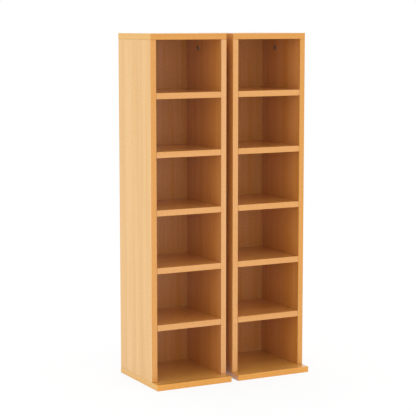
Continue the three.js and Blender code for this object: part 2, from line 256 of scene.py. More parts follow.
class FixingSettings(bpy.types.PropertyGroup):
    """Sizes and colours of the screws, cam fittings, wires and dowels."""

    rim: millimetres("Rim", "Chamfer round a screw head, a cam lock and a bolt head", 0.4)
    screw_pitch: millimetres("Screw pitch", "From one turn of a base screw's thread to the next", 3.2)
    bolt_pitch: millimetres("Bolt pitch", "From one turn of a cam bolt's thread to the next", 2.4)
    thread_depth: millimetres("Thread depth", "How far a thread stands out from its core", 1.0)
    flute_depth: millimetres("Flute depth", "Depth of the flutes along a dowel", 0.3)
    steel: shade("Plated steel", "Bright zinc plate on steel", "C6C9CC")
    casting: shade("Zinc casting", "Bare die-cast zinc", "B4B7BA")
    dowel: shade("Dowel", "Raw beech of the dowels", "DDBF92")


class StageSettings(bpy.types.PropertyGroup):
    """Camera, light and floor."""

    lens: setting("Lens", "Focal length on a 36 mm sensor, in millimetres", 124.1, min=1.0)
    camera_place: setting(
        "Camera place", "Where it stands", (-1.7166, -3.2592, 0.9158), subtype="TRANSLATION", unit="LENGTH"
    )
    camera_down: setting("Camera tilt", "How far down it looks", math.radians(7.437), subtype="ANGLE")
    camera_turn: setting("Camera turn", "How far right it looks", math.radians(27.512), subtype="ANGLE")
    floor_radius: millimetres("Floor radius", "Radius of the round floor", 40000)
    floor_colour: shade("Floor", "Colour of the floor", "F4F4F4")
    sky: setting("Sky", "Strength of the even light from all round", 1.2, min=0.0)
    side: setting("Side lamp", "Power of the soft lamp at the left", 9.0, subtype="POWER", unit="POWER")


class TowerSettings(bpy.types.PropertyGroup):
    """All settings of the pair of towers."""

    boards: bpy.props.PointerProperty(type=BoardSettings)
    backs: bpy.props.PointerProperty(type=BackSettings)
    fixings: bpy.props.PointerProperty(type=FixingSettings)
    stage: bpy.props.PointerProperty(type=StageSettings)


def towers():
    """The settings of the pair of towers."""
    return bpy.context.scene.disc_towers


# Materials: each maker adds its nodes to a tree and returns the inputs of the Principled shader


def add_node(tree, kind, inputs=None, stops=(), **settings):
    """Adds a node, with a value or a link for each input and a ramp's stops, and returns its outputs."""
    node = tree.nodes.new(f"ShaderNode{kind}")
    for name, value in settings.items():
        setattr(node, name, value)
    for name, value in (inputs or {}).items():
        socket = node.inputs[name]
        if isinstance(value, bpy.types.NodeSocket):
            tree.links.new(value, socket)
        else:
            socket.default_value = (*value, 1.0) if socket.type == "RGBA" else value
    if stops:
        elements = node.color_ramp.elements
        for position, _ in stops[1:-1]:
            elements.new(position)
        for element, (position, colour) in zip(elements[:], stops):
            element.position = position
            element.color = (*colour, 1.0)
    return node.outputs


class Marks(NamedTuple):
    """A layer of marks in the beech figure."""

    across: float  # width of a mark in millimetres
    along: float  # its length
    none_at: float  # value of the texture where the marks end
    full_at: float  # and where they show in full
    amount: float  # how much then shows
    detail: float = 0.0


# Broad growth bands of a plain-sawn board
BROAD = Marks(across=34, along=1000, none_at=0.42, full_at=0.6, amount=0.6, detail=2.0)
# Growth rings are 3 to 8 mm apart: drawn up to twice as wide, so that they show
RINGS = Marks(across=12, along=500, none_at=0.48, full_at=0.64, amount=0.7, detail=3.0)
# Fibres are about 0.3 mm wide: drawn four times as wide, so that they show
FIBRES = Marks(across=1.2, along=55, none_at=0.45, full_at=0.7, amount=0.5, detail=2.0)
# Ray flecks are about 3 mm long and 0.5 mm wide: drawn up to four times that size, so that they show
FLECKS = Marks(across=2.0, along=10, none_at=0.32, full_at=0.1, amount=0.5)


def beech_print(tree, deep, pale, contrast, pores):
    """A printed beech figure, as the colour and the normal of the shader.

    It reads the piece's own map, which is in metres across and along the grain, and its tone.
    The contrast, from 0 to 1, is that of the growth bands and rings, and pores is how deep the print feels.
    """
    boards = towers().boards
    growth, fleck = boards.growth, boards.fleck
    place = add_node(tree, "UVMap", uv_map=GRAIN_MAP)["UV"]
    tone = add_node(tree, "Attribute", attribute_name=TONE_LAYER)["Fac"]
    # Inputs 6 and 7 of a mix are its colours, and output 2 is the mixed colour
    colour = add_node(tree, "Mix", {0: tone, 6: deep, 7: pale}, data_type="RGBA")[2]
    noise = ("TexNoise", "Fac", {"noise_dimensions": "2D"})
    cells = ("TexVoronoi", "Distance", {"voronoi_dimensions": "2D"})
    layers = (
        (BROAD, noise, contrast, growth),
        (RINGS, noise, contrast, growth),
        (FIBRES, noise, 1.0, growth),
        (FLECKS, cells, 1.0, fleck),
    )
    for marks, (kind, output, options), strength, stain in layers:
        scale = (1 / (marks.across * MM), 1 / (marks.along * MM), 0.0)
        scaled = add_node(tree, "VectorMath", {0: place, 1: scale}, operation="MULTIPLY")[0]
        inputs = {"Vector": scaled, "Scale": 1.0, "Detail": marks.detail}
        value = add_node(tree, kind, inputs, **options)[output]
        limits = {"From Min": marks.none_at, "From Max": marks.full_at, "To Max": marks.amount * strength}
        shown = add_node(tree, "MapRange", {"Value": value, **limits})["Result"]
        mixed = {0: shown, 6: colour, 7: stain}
        colour = add_node(tree, "Mix", mixed, data_type="RGBA", blend_type="MULTIPLY")[2]
    # The last layer's flecks are pressed in
    limits = {"From Min": FLECKS.full_at, "From Max": FLECKS.none_at}
    height = add_node(tree, "MapRange", {"Value": value, **limits})["Result"]
    bump = add_node(tree, "Bump", {"Strength": pores, "Distance": 0.05 * MM, "Height": height})["Normal"]
    return {"Base Color": colour, "Normal": bump}


def melamine(tree):
    """Melamine-faced board: a printed paper, pressed in resin. Satin, with a faint pressed-in pore."""
    boards = towers().boards
    printed = beech_print(tree, boards.face_deep, boards.face_pale, contrast=1.0, pores=0.35)
    return {**printed, "Roughness": 0.3, "IOR": 1.56, "Coat Weight": 0.75, "Coat Roughness": 0.2}


def abs_band(tree, deep, pale):
    """Printed ABS edge band, glued on with heat: warmer and plainer than the faces, and smooth."""
    printed = beech_print(tree, deep, pale, contrast=0.4, pores=0.25)
    return {**printed, "Roughness": 0.38, "IOR": 1.53, "Coat Weight": 0.45, "Coat Roughness": 0.25}


def edge_band(tree):
    """The band of most front edges."""
    return abs_band(tree, towers().boards.band_deep, towers().boards.band_pale)


def bright_edge_band(tree):
    """The band of the outer ends and of the base fronts: brighter and yellower, as painted light."""
    return abs_band(tree, towers().boards.painted_light_deep, towers().boards.painted_light_pale)


def chipboard(tree):
    """Sawn chipboard: pale and brown chips, matt, with pits between them."""
    boards = towers().boards
    place = add_node(tree, "TexCoord")["Object"]
    # Chips are 1 to 3 mm across
    chips = add_node(tree, "TexVoronoi", {"Vector": place, "Scale": 1 / (2.2 * MM)})
    tone = add_node(tree, "SeparateColor", {"Color": chips["Color"]})["Red"]
    stops = ((0.0, boards.chip), (0.12, boards.chip_dark), (1.0, boards.chip_pale))
    colour = add_node(tree, "ValToRGB", {"Fac": tone}, stops)["Color"]
    bump = add_node(tree, "Bump", {"Strength": 0.6, "Distance": 0.2 * MM, "Height": chips["Distance"]})
    return {"Base Color": colour, "Roughness": 0.9, "Normal": bump["Normal"]}


def hardboard(tree):
    """Hardboard's rough side: matted fibres, with the print of the press's wire mesh."""
    backs = towers().backs
    place = add_node(tree, "TexCoord")["Object"]
    # Clumps of fibre, 5 to 40 mm across
    inputs = {"Vector": place, "Scale": 1 / (24 * MM), "Detail": 4.0, "Roughness": 0.6}
    clumps = add_node(tree, "TexNoise", inputs)["Fac"]
    # Single fibres are 2 to 5 mm long and matted
    inputs = {"Vector": place, "Scale": 1 / (2 * MM), "Detail": 5.0, "Roughness": 0.75}
    fibres = add_node(tree, "TexNoise", inputs)["Fac"]
    stops = ((0.34, backs.bark), (0.5, backs.ground), (0.68, backs.fibre))
    colour = add_node(tree, "ValToRGB", {"Fac": fibres}, stops)["Color"]
    # The mesh is woven at about 1.6 mm: drawn at 4 mm, so that it shows
    inputs = {"Vector": place, "Scale": 1 / (4 * MM), "Randomness": 0.0}
    mesh = add_node(tree, "TexVoronoi", inputs)["Distance"]
    cloudy = add_node(tree, "MapRange", {"Value": clumps, "To Min": 0.84, "To Max": 1.14})["Result"]
    # The knots of the mesh pressed the sheet smoother, into pits that are darker: partly dirt, partly painted
    # shade
    limits = {"From Min": 0.15, "From Max": 0.6, "To Min": 0.9, "To Max": 1.05}
    pressed = add_node(tree, "MapRange", {"Value": mesh, **limits})["Result"]
    value = add_node(tree, "Math", {0: cloudy, 1: pressed}, operation="MULTIPLY")[0]
    colour = add_node(tree, "HueSaturation", {"Value": value, "Color": colour})["Color"]
    bump = add_node(tree, "Bump", {"Strength": 0.7, "Distance": 0.4 * MM, "Height": mesh})
    return {"Base Color": colour, "Roughness": 0.85, "Normal": bump["Normal"]}


def plated_steel(tree):
    """Cold-drawn steel with bright zinc plate: a soft mirror, slightly cloudy."""
    place = add_node(tree, "TexCoord")["Object"]
    # Clouds of the plating bath, about 3 mm across
    clouds = add_node(tree, "TexNoise", {"Vector": place, "Scale": 1 / (3 * MM), "Detail": 3.0})["Fac"]
    rough = add_node(tree, "MapRange", {"Value": clouds, "To Min": 0.24, "To Max": 0.44})["Result"]
    return {"Base Color": towers().fixings.steel, "Metallic": 1.0, "Roughness": rough}


def zinc_casting(tree):
    """Die-cast zinc, tumbled and left bare: grey, dull and finely grained."""
    place = add_node(tree, "TexCoord")["Object"]
    # Casting skin, with a grain of about 0.6 mm
    grain = add_node(tree, "TexNoise", {"Vector": place, "Scale": 1 / (0.6 * MM), "Detail": 3.0})["Fac"]
    rough = add_node(tree, "MapRange", {"Value": grain, "To Min": 0.4, "To Max": 0.62})["Result"]
    bump = add_node(tree, "Bump", {"Strength": 0.3, "Distance": 0.05 * MM, "Height": grain})["Normal"]
    colour = towers().fixings.casting
    return {"Base Color": colour, "Metallic": 1.0, "Roughness": rough, "Normal": bump}


def raw_beech(tree):
    """Raw beech dowel: straight fibres along the dowel, matt."""
    place = add_node(tree, "TexCoord")["Object"]
    # Fibres 0.5 mm wide and 12 mm long, up the dowel
    scale = (1 / (0.5 * MM), 1 / (0.5 * MM), 1 / (12 * MM))
    drawn = add_node(tree, "VectorMath", {0: place, 1: scale}, operation="MULTIPLY")[0]
    fibres = add_node(tree, "TexNoise", {"Vector": drawn, "Scale": 1.0, "Detail": 2.0})["Fac"]
    value = add_node(tree, "MapRange", {"Value": fibres, "To Min": 0.8, "To Max": 1.15})["Result"]
    colour = add_node(tree, "HueSaturation", {"Value": value, "Color": towers().fixings.dowel})["Color"]
    return {"Base Color": colour, "Roughness": 0.8}


MATERIAL_MAKERS = {
    FACE: melamine,
    BAND: edge_band,
    PAINTED_LIGHT_BAND: bright_edge_band,
    CHIPBOARD: chipboard,
    HARDBOARD: hardboard,
    STEEL: plated_steel,
    CASTING: zinc_casting,
    RAW_BEECH: raw_beech,
}


def new_tree(owner):
    """The empty node tree of a new material or world."""
    owner.use_nodes = True
    owner.node_tree.nodes.clear()
    return owner.node_tree


def material_named(name):
    """The material of that name, made when it is first wanted."""
    material = bpy.data.materials.get(name)
    if not material:
        material = bpy.data.materials.new(name)
        tree = new_tree(material)
        shader = add_node(tree, "BsdfPrincipled", MATERIAL_MAKERS[name](tree))
        add_node(tree, "OutputMaterial", {"Surface": shader["BSDF"]})
    return material


# Mesh helpers


def add_object(name, data):
    """A new object of the scene, from its data or from a bmesh, which is freed."""
    if isinstance(data, bmesh.types.BMesh):
        mesh = bpy.data.meshes.new(name)
        data.to_mesh(mesh)
        data.free()
        data = mesh
    made = bpy.data.objects.new(name, data)
    bpy.context.scene.collection.objects.link(made)
    return made


def add_piece(name, bm, materials, node=None):
    """A piece that rides on the frame, and that stands for a CAD node if one is named."""
    piece = add_object(name, bm)
    for material in materials:
        piece.data.materials.append(material_named(material))
    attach(piece, "root")
    if node:
        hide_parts(node)


def size_of(node):
    """The size of a node's box."""
    low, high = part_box(node)
    return high - low


def middle_of(node, axis=None, level=None):
    """The middle of a node's box, or the point beside it at a level along one axis."""
    low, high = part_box(node)
    middle = (low + high) / 2
    if axis is not None:
        middle[axis] = level
    return middle


def moved(bm, place, turn=NO_TURN):
    """Turns a bmesh and moves it to its place."""
    bmesh.ops.transform(bm, matrix=Matrix.Translation(place) @ turn, verts=bm.verts)
    return bm


def box_mesh(low, high):
    """A bmesh of a box between two corners."""
    bm = bmesh.new()
    place = Matrix.Translation((low + high) / 2) @ Matrix.Diagonal((*(high - low), 1.0))
    bmesh.ops.create_cube(bm, size=1.0, matrix=place)
    return bm


def sides_at(point, low, high):
    """The sides of a box that a point lies on."""
    sides = set()
    for axis in range(3):
        if abs(point[axis] - low[axis]) < TOUCHING:
            sides.add((axis, -1))
        if abs(point[axis] - high[axis]) < TOUCHING:
            sides.add((axis, 1))
    return sides


def arrises(bm, low, high):
    """The outer edges of a box-shaped piece, each with the two sides that meet there."""
    for edge in bm.edges:
        meeting = set.intersection(*(sides_at(vertex.co, low, high) for vertex in edge.verts))
        if len(meeting) == 2:
            yield edge, meeting


def round_edges(bm, edges, radius, segments):
    """Rounds edges to a radius."""
    bmesh.ops.bevel(
        bm,
        geom=edges,
        offset=radius,
        affect="EDGES",
        segments=segments,
        profile=0.5,
        material=-1,
        clamp_overlap=True,
    )


def spun(bm, geometry, angle, steps, middle=ORIGIN, **options):
    """Spins geometry about an upright axis."""
    return bmesh.ops.spin(bm, geom=geometry, cent=middle, axis=UP, angle=angle, steps=steps, **options)


def line(bm, points):
    """A line of edges through radius and height points beside the Z axis, as geometry for a spin."""
    verts = [bm.verts.new((radius, 0.0, height)) for radius, height in points]
    return verts + [bm.edges.new(pair) for pair in zip(verts, verts[1:])]


def closed(bm):
    """Merges the doubles of a mesh and turns its faces outwards."""
    bmesh.ops.remove_doubles(bm, verts=bm.verts, dist=MERGE_DISTANCE)
    bmesh.ops.recalc_face_normals(bm, faces=bm.faces)
    return bm


def turned(profile, sides):
    """A solid turned about the Z axis, from its radius and height at each step."""
    bm = bmesh.new()
    spun(bm, line(bm, profile), FULL_TURN, sides, use_merge=True)
    return closed(bm)


def capped(outline, sides=ROUND_SIDES):
    """A solid turned about the Z axis, with a flat face at each end of its outline."""
    return turned([(0.0, outline[0][1]), *outline, (0.0, outline[-1][1])], sides)


def rod(radius, low, high, sides=ROUND_SIDES):
    """A plain rod about the Z axis."""
    return capped([(radius, low), (radius, high)], sides)


def thread(core, crest, pitch, low, high):
    """A threaded rod about the Z axis between two heights, cut square at both ends."""
    bm = bmesh.new()
    start = low - pitch
    turns = math.ceil((high - start) / pitch) + 1
    ridge = line(bm, [((core, crest)[out], start + share * pitch) for out, share in THREAD_SHARES])
    rise = (0.0, 0.0, pitch / THREAD_SIDES)
    spun(bm, ridge, FULL_TURN * turns, THREAD_SIDES * turns, dvec=rise)
    bmesh.ops.remove_doubles(bm, verts=bm.verts, dist=MERGE_DISTANCE)
    for height, way in ((low, -1), (high, 1)):
        everything = bm.verts[:] + bm.edges[:] + bm.faces[:]
        plane = {"plane_co": (0.0, 0.0, height), "plane_no": (0.0, 0.0, way)}
        cut = bmesh.ops.bisect_plane(bm, geom=everything, clear_outer=True, **plane)
        rim = [item for item in cut["geom_cut"] if isinstance(item, bmesh.types.BMEdge)]
        bmesh.ops.contextual_create(bm, geom=rim)
    bmesh.ops.recalc_face_normals(bm, faces=bm.faces)
    return bm


def combined(bm, tools, operation):
    """A bmesh joined to others, or cut by them, with Blender's Boolean modifier."""
    objects = [add_object("part", part) for part in (bm, *tools)]
    for tool in objects[1:]:
        modifier = objects[0].modifiers.new("combine", "BOOLEAN")
        modifier.operation = operation
        modifier.solver = "EXACT"
        modifier.object = tool
    result = bmesh.new()
    result.from_object(objects[0], bpy.context.evaluated_depsgraph_get())
    for part in objects:
        bpy.data.meshes.remove(part.data)
    bmesh.ops.dissolve_limit(result, angle_limit=FLAT_ANGLE, verts=result.verts, edges=result.edges)
    bmesh.ops.remove_doubles(result, verts=result.verts, dist=WELD_DISTANCE)
    bmesh.ops.dissolve_degenerate(result, dist=WELD_DISTANCE, edges=result.edges)
    return result


def extruded(bm, face, offset, scale=1.0):
    """Pulls a face out by an offset, scales it about its middle and returns it."""
    made = bmesh.ops.extrude_face_region(bm, geom=[face, *face.edges, *face.verts])["geom"]
    end = next(item for item in made if isinstance(item, bmesh.types.BMFace))
    bmesh.ops.translate(bm, verts=end.verts[:], vec=offset)
    middle = Matrix.Translation(-end.calc_center_median())
    bmesh.ops.scale(bm, verts=end.verts[:], vec=(scale, scale, scale), space=middle)
    return end


def disc(bm, radius, sides, matrix=NO_TURN):
    """A filled circle, and the face that it is."""
    made = bmesh.ops.create_circle(bm, cap_ends=True, segments=sides, radius=radius, matrix=matrix)
    return made["verts"][0].link_faces[0]


def smoothed(bm):
    """Shades the round surfaces of a piece smooth and keeps its edges."""
    for face in bm.faces:
        face.smooth = True
    for edge in bm.edges:
        edge.smooth = len(edge.link_faces) == 2 and edge.calc_face_angle() < SHARP_ANGLE
    return bm


# Boards


def tone_of(tones, node):
    """The tones of a node's faces, or the tone of its front band."""
    return next(tone for part, tone in tones.items() if part in node)


def print_beech(bm, number, grain_axis, tones, thickness_axis=X_AXIS):
    """Lays the print over each face, along the grain where the face has it, and sets its tone, which on a
    board's faces carries painted light and shade.

    The board's number says where on the printed sheet it was cut.
    """
    place = SHEET_STEP * (number + 1)
    layer = bm.loops.layers.uv.new(GRAIN_MAP)
    tone_layer = bm.faces.layers.float.new(TONE_LAYER)
    for face in bm.faces:
        # Painted light and shade: a face's tone follows the side of the board that it is on
        face[tone_layer] = tones[face.normal[thickness_axis] > 0]
        facing = max(range(3), key=lambda axis: abs(face.normal[axis]))
        across, along = (axis for axis in range(3) if axis != facing)
        if across == grain_axis:
            across, along = along, across
        for loop in face.loops:
            loop[layer].uv = Vector((loop.vert.co[across], loop.vert.co[along])) + place


def band_look(node, side):
    """The material and the tone of the band on one side of a board."""
    if side == FRONT:
        # Painted light: the base fronts get the brighter band, painted lighter to make up for the shade of
        # the floor below them
        return PAINTED_LIGHT_BAND if node.endswith("base_board") else BAND, tone_of(FRONT_TONES, node)
    # Painted light and shade: an outer end gets the brighter band at its palest tone, and an end in the gap
    # gets the face print at a deep tone
    outer = node.startswith(SIDE_NAMES[side])
    return (PAINTED_LIGHT_BAND, PAINTED_LIGHT_END_TONE) if outer else (FACE, PAINTED_SHADE_END_TONE)


def add_band(node, number, side, grain_axis, round_ends, low_by=ORIGIN, high_by=ORIGIN):
    """An edge band on one side of a board, its corners moved in, with its outer edges rounded."""
    boards = towers().boards
    low, high = (corner.copy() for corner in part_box(node))
    band_axis, hand = side
    inner, outer = (high, low) if hand < 0 else (low, high)
    inner[band_axis] = outer[band_axis] - hand * boards.band_thickness
    box = (low + Vector(low_by), high + Vector(high_by))
    bm = box_mesh(*box)
    edges = []
    for edge, meeting in arrises(bm, *box):
        axes = {axis for axis, _ in meeting}
        along = side in meeting and (round_ends or grain_axis not in axes)
        corner = round_ends and band_axis not in axes
        if along or corner:
            edges.append(edge)
    round_edges(bm, edges, boards.band_rounding, BAND_STEPS)
    material, tone = band_look(node, side)
    print_beech(bm, number, grain_axis, (tone, tone))
    add_piece(f"{node}_{SIDE_NAMES[side]}_band", bm, [material])


def add_board(node, number, thickness_axis, grain_axis, banded, bores=()):
    """A board, bored or grooved, set back behind its bands, its bare edges eased, its faces printed."""
    boards = towers().boards
    low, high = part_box(node)
    if bores:
        bm = combined(box_mesh(low, high), bores, "DIFFERENCE")
    else:
        bm = bmesh.new()
        bm.from_mesh(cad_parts[node].data)
        bmesh.ops.remove_doubles(bm, verts=bm.verts, dist=MERGE_DISTANCE)
    bmesh.ops.dissolve_limit(bm, angle_limit=FLAT_ANGLE, verts=bm.verts, edges=bm.edges)
    bare = [edge for edge, meeting in arrises(bm, low, high) if not meeting & set(banded)]
    round_edges(bm, bare, boards.arris, ARRIS_STEPS)
    for vertex in bm.verts:
        for axis, hand in sides_at(vertex.co, low, high) & set(banded):
            vertex.co[axis] -= hand * boards.band_thickness
    bm.normal_update()
    skin = 2 * boards.arris
    for face in bm.faces:
        height = face.calc_center_median()[thickness_axis]
        at_face = min(height - low[thickness_axis], high[thickness_axis] - height) < skin
        printed = at_face and abs(face.normal[thickness_axis]) > FACING
        face.material_index = 0 if printed else 1
    print_beech(bm, number, grain_axis, tone_of(LIT_AND_SHADED_FACE_TONES, node), thickness_axis)
    add_piece(f"{node}_board", bm, [FACE, CHIPBOARD], node)


def bore(board, fixing, axis, radius, middle=None):
    """A cutter along a fixing, from past the board's face to the blind end of the fixing's hole."""
    low, high = (corner[axis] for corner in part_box(board))
    start, end = (corner[axis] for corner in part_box(fixing))
    start = low - OVERRUN if start < low + TOUCHING else start - FIT_GAP
    end = high + OVERRUN if end > high - TOUCHING else end + FIT_GAP
    place = middle or middle_of(fixing, axis, 0.0)
    return moved(rod(radius + FIT_GAP, start, end), place, Z_TO_X if axis == X_AXIS else NO_TURN)


def top_fixing_bores(board, corner, bolt_radius):
    """The holes of a board for the dowel and the cam bolt of one corner."""
    holes = {"dowel": size_of(f"{corner}_dowel").x / 2, "cam_bolt": bolt_radius}
    return [bore(board, f"{corner}_{name}", Z_AXIS, radius) for name, radius in holes.items()]


def side_panel_bores(node):
    """The holes of a side panel: screws below, a dowel and a cam bolt above, a cam lock and wires inside."""
    corner = node.removesuffix("_side_panel")
    tower, hand = corner.rsplit("_", 1)
    cutters = [bore(node, f"{corner}_base_screw_{n}", Z_AXIS, SCREW_RADIUS) for n in (1, 2)]
    cutters += top_fixing_bores(node, corner, BOLT_COLLAR_RADIUS)
    cutters.append(bore(node, f"{corner}_cam_lock", X_AXIS, CAM_RADIUS))
    for wire in [f"{shelf}_{hand}_wire" for shelf in SHELF_NODES if shelf.startswith(tower)]:
        low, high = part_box(wire)
        radius = (high.z - low.z) / 2
        for y in (low.y + radius, high.y - radius):
            leg = Vector((0.0, y, low.z + radius))
            cutters.append(bore(node, wire, X_AXIS, radius, leg))
    return cutters


def top_panel_bores(node):
    """The holes in the underside of a top panel."""
    tower = node.removesuffix("_top_panel")
    corners = [corner for corner in CORNERS if corner.startswith(tower)]
    return [cutter for corner in corners for cutter in top_fixing_bores(node, corner, BOLT_THREAD_RADIUS)]


def base_board_bores(node):
    """The countersunk holes of a base board."""
    tower = node.removesuffix("_base_board")
    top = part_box(node)[1].z + OVERRUN
    head, hole = SCREW_HEAD_RADIUS + FIT_GAP, SCREW_RADIUS + FIT_GAP
    cutters = []
    for screw in [f"{tower}_{hand}_base_screw_{number}" for hand in HANDS for number in (1, 2)]:
        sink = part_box(screw)[0].z
        outline = [(head, -OVERRUN), (head, sink), (hole, sink + SCREW_HEAD_HEIGHT), (hole, top)]
        cutters.append(moved(capped(outline), middle_of(screw, Z_AXIS, 0.0)))
    return cutters


# Pins and fixings


def spread(low, high, greatest):
    """Places from low to high, with both ends, no further apart than greatest."""
    gaps = math.ceil((high - low) / greatest)
    return [low + (high - low) * step / gaps for step in range(gaps + 1)]


def pin_mesh():
    """A panel pin about the Z axis, with the underside of its domed head at height zero."""
    backs = towers().backs
    shank, length = backs.pin_radius, backs.pin_length
    head, height = backs.head_radius, backs.head_height
    profile = [(0.0, -length), (shank, PIN_POINT - length), (shank, 0.0), (head, 0.0)]
    profile += [(head * out, height * up) for out, up in PIN_DOME_SHARES]
    return smoothed(turned([*profile, (0.0, height)], THIN_SIDES))


def base_screw_mesh(length):
    """A screw for chipboard: a countersunk head with a hexagon socket, a plain neck and a deep thread."""
    fixings = towers().fixings
    rim, depth = fixings.rim, fixings.thread_depth
    core = SCREW_RADIUS - depth
    shoulder = SCREW_NECK + depth
    tip = length - SCREW_TIP
    head, neck = SCREW_HEAD_RADIUS, SCREW_RADIUS
    outline = [(head - rim, 0.0), (head, rim), (head, 2 * rim), (neck, SCREW_HEAD_HEIGHT)]
    outline += [(neck, SCREW_NECK), (core, shoulder), (core, tip), (core / 2, length)]
    ridge = thread(core - rim, neck, fixings.screw_pitch, shoulder, tip)
    body = combined(capped(outline), [ridge], "UNION")
    socket = rod(SCREW_SOCKET_RADIUS, -rim, SCREW_SOCKET_DEPTH, HEXAGON_SIDES)
    return smoothed(combined(body, [socket], "DIFFERENCE"))


def cam_bolt_mesh(head_end, thread_end):
    """A cam bolt about the Z axis. Its collar lies against the top panel, at height zero."""
    fixings = towers().fixings
    rim = fixings.rim
    head_top = head_end + BOLT_HEAD_LENGTH
    core = BOLT_THREAD_RADIUS - fixings.thread_depth
    tip = thread_end - fixings.thread_depth
    head, neck, collar = BOLT_HEAD_RADIUS, BOLT_NECK_RADIUS, BOLT_COLLAR_RADIUS
    under = -BOLT_COLLAR_HEIGHT
    outline = [(head - rim, head_end), (head, head_end + rim), (head, head_top - rim), (head - rim, head_top)]
    outline += [(neck, head_top), (neck, under), (collar - rim, under), (collar, rim + under), (collar, 0.0)]
    outline += [(core, 0.0), (core, tip), (core / 2, thread_end)]
    ridge = thread(core - rim, BOLT_THREAD_RADIUS, fixings.bolt_pitch, rim, tip)
    return smoothed(combined(capped(outline), [ridge], "UNION"))


def cam_track(reach, level, turn):
    """A cutter for the curved slot where the neck of the bolt runs as the cam lock turns."""
    bm = bmesh.new()
    corners = ((0.0, -level), (reach, -level), (reach, level), (0.0, level))
    section = bm.faces.new([bm.verts.new((0.0, y, z)) for y, z in corners])
    spun(bm, [section], turn, TRACK_STEPS)
    return closed(bm)


def cam_lock_mesh(height, hand):
    """A cam lock with its face at height zero and its body below, cut as the CAD lock is.

    The neck of the bolt lies along +Y when locked, and comes in where the lock has been turned back
    by the entry angle, to the side that hand gives.
    """
    rim = towers().fixings.rim
    outer, inner = CAM_RADIUS, CAM_RADIUS - rim
    body = capped([(inner, -height), (outer, rim - height), (outer, -rim), (inner, 0.0)])
    board = size_of(f"{TOWERS[0]}_left_side_panel").x
    room = BOLT_HEAD_RADIUS + FIT_GAP
    neck = BOLT_NECK_RADIUS + FIT_GAP
    reach = CAM_RADIUS + rim
    entry = hand * CAM_ENTRY_TURN
    entry_turn = Matrix.Rotation(entry, 4, "Z")
    cutters = [
        rod(CAM_POCKET_RADIUS, -room - CAM_NUDGE, room + CAM_NUDGE),
        moved(rod(neck, 0.0, reach), ORIGIN, Z_TO_Y),
        moved(rod(room, 0.0, reach), ORIGIN, entry_turn @ Z_TO_Y),
        cam_track(reach, neck - CAM_NUDGE, entry),
    ]
    for cutter in cutters:
        moved(cutter, (0.0, 0.0, -board / 2))
    half, width = CROSS_LENGTH / 2, CROSS_WIDTH / 2
    for x, y in ((half, width), (width, half)):
        cutters.append(box_mesh(Vector((-x, -y, -CROSS_DEPTH)), Vector((x, y, rim))))
    outward = Matrix.Translation((0.0, ARROW_PLACE, 0.0)) @ Matrix.Rotation(QUARTER_TURN, 4, "Z")
    cutters.append(moved(rod(ARROW_RADIUS, -rim, rim, ARROW_SIDES), ORIGIN, entry_turn @ outward))
    return smoothed(combined(body, cutters, "DIFFERENCE"))


def dowel_mesh(radius, length):
    """A beech dowel about the Z axis, with flutes for the glue and chamfered ends."""
    bm = bmesh.new()
    tip = (radius - DOWEL_CHAMFER) / radius
    face = disc(bm, radius, DOWEL_FLUTES * FLUTE_STEPS)
    grooved = [vertex for index, vertex in enumerate(face.verts) if index % FLUTE_STEPS == 0]
    flute = 1 - towers().fixings.flute_depth / radius
    bmesh.ops.scale(bm, verts=grooved, vec=(flute, flute, 1.0))
    bmesh.ops.scale(bm, verts=face.verts[:], vec=(tip, tip, 1.0))
    bmesh.ops.translate(bm, verts=face.verts[:], vec=(0.0, 0.0, -length / 2))
    chamfer = DOWEL_CHAMFER
    for rise, scale in ((chamfer, 1 / tip), (length - 2 * chamfer, 1.0), (chamfer, tip)):
        face = extruded(bm, face, (0.0, 0.0, rise), scale)
    return smoothed(closed(bm))


def shelf_wire_mesh(low, high, hand):
    """A bent wire with its two legs in the side panel, which is on the side that hand gives."""
    radius = (high.z - low.z) / 2
    tip = (low.x, high.x)[hand > 0]
    run = (high.x - radius, low.x + radius)[hand > 0]
    front, rear = low.y + radius, high.y - radius
    height = (low.z + high.z) / 2
    toward = -hand
    nose = radius * WIRE_NOSE_SHARE
    bm = bmesh.new()
    place = Matrix.Translation((tip, front, height)) @ Z_TO_X
    face = disc(bm, radius - nose, THIN_SIDES, place)
    face = extruded(bm, face, (toward * nose, 0.0, 0.0), radius / (radius - nose))
    bend_start = run - toward * WIRE_BEND
    face = extruded(bm, face, (bend_start - tip - toward * nose, 0.0, 0.0))
    for bend_y, straight in ((front + WIRE_BEND, rear - front - 2 * WIRE_BEND), (rear - WIRE_BEND, 0.0)):
        end = [face, *face.edges, *face.verts]
        made = spun(bm, end, toward * QUARTER_TURN, WIRE_BEND_STEPS, (bend_start, bend_y, height))
        face = next(item for item in made["geom_last"] if isinstance(item, bmesh.types.BMFace))
        if straight:
            face = extruded(bm, face, (0.0, straight, 0.0))
    face = extruded(bm, face, (tip - bend_start + toward * nose, 0.0, 0.0))
    extruded(bm, face, (-toward * nose, 0.0, 0.0), (radius - nose) / radius)
    return smoothed(closed(bm))


# Stage


def seen_directly(tree):
    """1 for camera, glossy and transmission rays, 0 for the rays that light the object."""
    path = add_node(tree, "LightPath")
    seen = path["Is Camera Ray"]
    for kind in ("Glossy", "Transmission"):
        seen = add_node(tree, "Math", {0: seen, 1: path[f"Is {kind} Ray"]}, operation="MAXIMUM")[0]
    return seen


